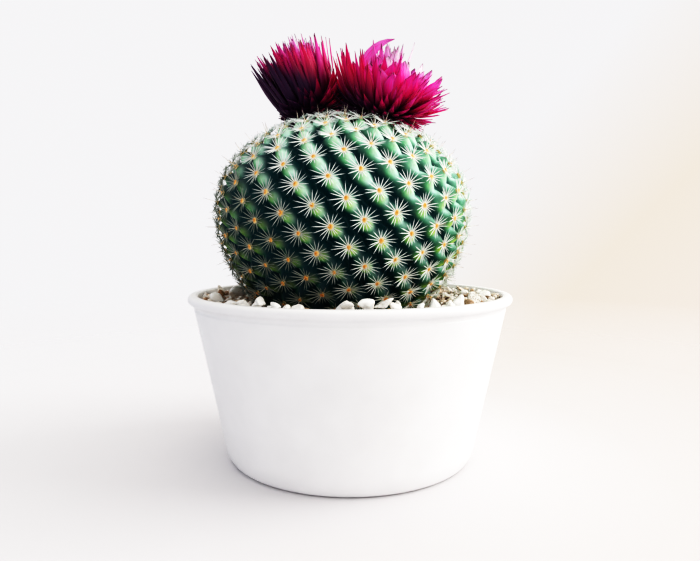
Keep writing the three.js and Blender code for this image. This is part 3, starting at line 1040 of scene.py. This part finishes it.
def big_pebbles():
    """The stones of the CAD, a little larger than their plain forms."""
    roll = np.random.default_rng(8)
    parts, tone = [], []
    for name in sorted(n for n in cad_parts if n.startswith("pebble_")):
        low, high = (np.array(v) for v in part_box(name))
        half = (high - low) / 2
        in_front = high[1] < FRONT
        middle = (low + high) / 2 + [0, 0, 0.2 * MM if in_front else 0]
        parts.append((middle + pebble_points(roll, fine_ball, half * 1.1, 0.36), fine_ball_faces))
        tone += [roll.random() * (0.6 if in_front else 1)] * len(fine_ball)
    return *joined(parts), tone


FRONT_ROW = [  # where a white pebble shows over the lip: right of the axis, half width and top, mm
    (-24.2, 2.0, 44.6), (-20.2, 2.0, 44.9), (-16.9, 1.7, 45.2), (-14.0, 1.5, 44.1), (-11.2, 2.0, 44.2),
    (-0.2, 1.9, 44.5), (3.4, 2.0, 45.1), (6.9, 2.1, 45.2), (10.2, 1.7, 44.2), (14.6, 2.0, 43.9),
    (19.0, 1.9, 44.1), (22.6, 1.7, 44.0)]
ROW_RADIUS = 36.0 * MM


def front_row():
    """White pebbles along the front of the wall."""
    roll = np.random.default_rng(52)
    parts, tone = [], []
    for right, half_width, top in FRONT_ROW:
        half = np.array([half_width, 1.6, 1.5]) * MM
        middle = np.array([right * MM, -math.sqrt(ROW_RADIUS ** 2 - (right * MM) ** 2), top * MM - half[2]])
        parts.append((middle + pebble_points(roll, fine_ball, half, 0.5), fine_ball_faces))
        tone += [roll.uniform(0, 0.6)] * len(fine_ball)
    return *joined(parts), tone


# %% Grit
CLEAR_OF_BODY = 24.6 * MM  # from the body's axis
TRIES = 30  # for each stone
CLOSEST = 0.82  # of two stones' half sizes together


def grit(stones, ring, size, height, seed, shape):
    """Stones scattered over the ring between pot and plant, none on another's place; in mm."""
    roll = np.random.default_rng(seed)
    sphere, triangles = shape
    places, parts, tone = [], [], []
    for _ in range(stones * TRIES):
        if len(places) >= stones:
            break
        radius = math.sqrt(roll.uniform(ring[0] ** 2, ring[1] ** 2))
        a = roll.uniform(0, 2 * math.pi)
        spot = np.array([radius * math.cos(a), radius * math.sin(a)]) * MM
        half = roll.uniform(*size) / 2 * MM
        if math.dist(spot, BODY["centre"][:2]) < CLEAR_OF_BODY + half * 0.4:
            continue
        if any(math.dist(spot, p) < CLOSEST * (half + h) for p, h in places):
            continue
        places.append((spot, half))
        flat = np.array([1, roll.uniform(0.75, 1), roll.uniform(0.6, 0.85)])
        z = gravel_top + roll.uniform(*height) * MM + bank(*spot)
        parts.append((pebble_points(roll, sphere, half * flat) + [*spot, z], triangles))
        tone += [roll.random()] * len(sphere)
    return *joined(parts), tone


# %% [markdown]
# Milky quartz is a translucent white stone, tumbled to a soft gloss. Most pebbles are clean;
# some are stained tan, and the grit is mixed with beige and brown chips. Which one a stone is
# comes from one random number per stone, and iron stains and grain come from noise.

# %% Quartz
def quartz(name, ramp):
    """Translucent stone; the ramp runs from the cleanest stone to the most stained."""
    made, tree, shader = new_material(name, IOR=1.544, Subsurface_Weight=0.35,
                                      Subsurface_Radius=(1.0, 0.95, 0.9), Subsurface_Scale=0.8 * MM)
    place = add(tree, "TexCoord").outputs["Object"]
    tone = stored(tree, "tone")
    cloud = noise(tree, place, 1.8 * MM, 4.0)
    grain = noise(tree, place, 0.3 * MM, 3.0)
    stone = ramped(tree, added(tree, tone, span(tree, cloud, -0.09, 0.09)), ramp)
    mineral = ramped(tree, grain, [(0.36, "#9a8878"), (0.46, "#ffffff")])
    colour = blend(tree, span(tree, tone, 0, 1, 0.4, 0.7), stone, mineral, "MULTIPLY")
    bump = bumped(tree, grain, 0.4, 0.08 * MM)
    connect(tree, shader, colour, span(tree, grain, 0.35, 0.6), bump)
    return made


white_quartz = quartz("milky_quartz", [
    (0.0, "#fdfdfb"), (0.8, "#f4f2ec"), (0.88, "#d9c8ac"), (1.0, "#9c7a58")])
mixed_quartz = quartz("washed_quartz_grit", [
    (0.0, "#fbfaf7"), (0.5, "#f2ebe2"), (0.72, "#e2d2c0"), (0.88, "#bb9f86"), (1.0, "#6e5848")])

# %% Stones in place
points, faces, tone = big_pebbles()
make_piece("quartz_pebbles", points, faces, white_quartz,
           [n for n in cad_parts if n.startswith("pebble_")], attributes={"tone": tone})
points, faces, tone = front_row()
make_piece("quartz_front_row", points, faces, white_quartz, attributes={"tone": tone})
points, faces, tone = grit(430, (22.5, 38.4), (2.2, 3.6), (-0.6, 0.3), 12, (ball, ball_faces))
make_piece("grit_lower", points, faces, mixed_quartz, attributes={"tone": tone})
points, faces, tone = grit(520, (24, 38.6), (1.1, 2.6), (1.0, 1.9), 17, icosphere(2))
make_piece("grit_upper", points, faces, mixed_quartz, attributes={"tone": tone})
points, faces, tone = grit(42, (27, 37.4), (3.4, 4.8), (1.4, 2.0), 31, (fine_ball, fine_ball_faces))
make_piece("stones_upper", points, faces, mixed_quartz, attributes={"tone": tone})


# %% Bed under the stones
BED_INNER = 20.5 * MM  # from the body's axis, so that its inner edge is under the plant


def bed_ring():
    """A lumpy ring from under the plant to the wall, which closes the gaps between stones."""
    sides, rows = 160, 14
    points, faces = [], []
    for i in range(rows):
        t = i / (rows - 1)
        for j in range(sides):
            a = 2 * math.pi * j / sides
            edge = np.array([math.cos(a), math.sin(a)])
            inner = BODY["centre"][:2] + edge * BED_INNER
            outer = edge * (inner_radius(gravel_top) - 0.35 * MM)
            spot = inner * (1 - t) + outer * t
            lump = 0.35 * math.sin(spot[0] / MM * 2.3) * math.cos(spot[1] / MM * 2.1)
            points.append((*spot, gravel_top + (lump - 0.9) * MM + bank(*spot)))
    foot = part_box("gravel_bed")[0].z
    points += [(x * 0.995, y * 0.995, foot) for x, y, _ in points]
    shift = rows * sides
    for j in range(sides):
        k = (j + 1) % sides
        for i in range(rows - 1):
            a, b = i * sides, (i + 1) * sides
            faces.append((a + j, b + j, b + k, a + k))
            faces.append((shift + a + j, shift + a + k, shift + b + k, shift + b + j))
        last = (rows - 1) * sides
        faces.append((j, k, shift + k, shift + j))
        faces.append((last + k, last + j, shift + last + j, shift + last + k))
    return np.array(points), faces


bed_points, bed_faces = bed_ring()
make_piece("grit_bed", bed_points, bed_faces, mixed_quartz, ["gravel_bed"],
           attributes={"tone": np.random.default_rng(6).uniform(0.5, 1.0, len(bed_points))})


# %% [markdown]
# The soil keeps its CAD shape, because the gravel hides it. It gets a peat finish: near black,
# with bark chips and no gloss. What shows of it are the dry flakes that stick to the inside of
# the rim, where the plant was last watered.

# %% Peat
peat_finish = grained("peat_and_bark", 1.2 * MM, 5.0, [(0.4, "#120c08"), (0.65, "#4a3524")],
                      (0.85, 1.0), (1.0, 0.6 * MM), IOR=1.4)
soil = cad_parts["soil"]
soil.data.materials.clear()
soil.data.materials.append(peat_finish)


# %% Peat on the wall
CRUMBS = 34


def crumbs_on_wall():
    """Flakes of dry peat on the inside of the rim, most of them on the right."""
    roll = np.random.default_rng(44)
    sphere, triangles = icosphere(2)
    parts = []
    for _ in range(CRUMBS):
        a = math.radians(roll.normal(22, 34))
        z = roll.uniform(40.2, 42.4) * MM
        half = roll.uniform(0.2, 0.55) * MM
        radius = inner_radius(z) - half * 0.25
        flake = pebble_points(roll, sphere, half * np.array([1, 0.6, 0.8]))
        parts.append((flake + [radius * math.cos(a), radius * math.sin(a), z], triangles))
    return joined(parts)


points, faces = crumbs_on_wall()
make_piece("peat_crumbs", points, faces, peat_finish)

# %% [markdown]
# ## Floor and light
#
# A pale table that fades into a pale room, so no horizon shows. The light is a large window on
# the right, warm white, with a dome round it that is bright and warm on the window's side and
# dimmer and cooler on the other. That dome lights the object; the camera sees a plain backdrop.

# %% Floor
FLOOR = 1.6  # radius in metres
FADE_END = 0.5  # metres
FADE = [(0.08, 1.0), (0.16, 0.72), (0.34, 0.4), (0.9, 0.0)]  # share of the way, and what is left


def pale_floor():
    """A matt laminate top, plain but for a slow cloudiness, that fades out with distance."""
    made, tree, shader = new_material("matt_white_table", Roughness=0.6, IOR=1.45)
    place = add(tree, "TexCoord").outputs["Object"]
    away = add(tree, "VectorMath", {0: place}, operation="LENGTH")
    share_out = add(tree, "MapRange", {"Value": away.outputs["Value"], "From Max": FADE_END})
    fade = add(tree, "ValToRGB", {"Fac": share_out.outputs["Result"]},
               ramp=[(far, (left, left, left, 1.0)) for far, left in FADE])
    cloud = add(tree, "TexNoise", {"Vector": place, "Scale": 6.0, "Detail": 2.0})
    colour = add(tree, "ValToRGB", {"Fac": cloud.outputs["Fac"]},
                 ramp=[(0.3, "#dedddf"), (0.7, "#e2e1e3")])
    tree.links.new(fade.outputs["Color"], shader.inputs["Alpha"])
    connect(tree, shader, colour.outputs["Color"])
    return made


rim = np.radians(np.arange(0, 360, 5))
floor_mesh = bpy.data.meshes.new("floor")
floor_points = [(0, 0, 0)] + [(FLOOR * math.cos(a), FLOOR * math.sin(a), 0) for a in rim]
floor_faces = [(0, 1 + i, 1 + (i + 1) % len(rim)) for i in range(len(rim))]
floor_mesh.from_pydata(floor_points, [], floor_faces)
floor_mesh.materials.append(pale_floor())
floor = bpy.data.objects.new("floor", floor_mesh)
bpy.context.scene.collection.objects.link(floor)


# %% Light
def area_light(name, place, aim, size, power, colour):
    """A square soft light; it looks along its own -Z."""
    data = bpy.data.lights.new(name, "AREA")
    data.shape = "SQUARE"
    data.size = size
    data.energy = power
    data.color = linear(colour)[:3]
    lamp = bpy.data.objects.new(name, data)
    lamp.location = place
    dx, dy, dz = (a - b for a, b in zip(aim, place))
    lamp.rotation_euler = (math.atan2(math.hypot(dx, dy), -dz), 0, math.atan2(-dx, dy))
    bpy.context.scene.collection.objects.link(lamp)


area_light("window", (1.25, 0.05, 0.85), (0, 0, 0.06), 1.0, 11.6, "#fffdfa")


# %% Room
def room():
    """A dome of light for the object and a plain backdrop, warmer low on the right, to look at."""
    world = bpy.data.worlds.new("white_room")
    world.use_nodes = True
    tree = world.node_tree
    seen = tree.nodes["Background"]
    ray = add(tree, "LightPath")
    way = add(tree, "TexCoord").outputs["Generated"]
    warm_side = add(tree, "VectorMath", {0: way, 1: (1.0, 0.0, -0.8)}, operation="DOT_PRODUCT")
    warm = add(tree, "ValToRGB", {"Fac": warm_side.outputs["Value"]}, ramp=[
        (0.15, "#e9e8ea"), (0.42, "#e5dacd"), (0.62, "#e8ddd3")])
    tree.links.new(warm.outputs["Color"], seen.inputs["Color"])
    window_side = add(tree, "VectorMath", {0: way, 1: (0.85, 0.1, 0.5)}, operation="DOT_PRODUCT")
    dome = add(tree, "MapRange", {"Value": window_side.outputs["Value"], "From Min": -0.8, "From Max": 0.9,
                                  "To Min": 0.58, "To Max": 1.14})
    tint = add(tree, "ValToRGB", {"Fac": dome.outputs["Result"]}, ramp=[(0.5, "#f0f4ff"), (1.0, "#fffaf4")])
    light = add(tree, "Background", {"Color": tint.outputs["Color"], "Strength": dome.outputs["Result"]})
    both = add(tree, "MixShader", {0: ray.outputs["Is Camera Ray"], 1: light.outputs[0], 2: seen.outputs[0]})
    tree.links.new(both.outputs[0], tree.nodes["World Output"].inputs["Surface"])
    return world


bpy.context.scene.world = room()

# %% [markdown]
# The view has a firm curve: the lights stay and the darks go down, which is what makes the
# folds of the plant read as near black.

# %% View
view = bpy.context.scene.view_settings
view.view_transform = "Standard"
view.use_curve_mapping = True
tones = view.curve_mapping.curves[3].points
for darkness, shown_as in ((0.05, 0.01), (0.12, 0.045), (0.25, 0.2), (0.5, 0.6), (0.8, 0.91)):
    tones.new(darkness, shown_as)
view.curve_mapping.update()
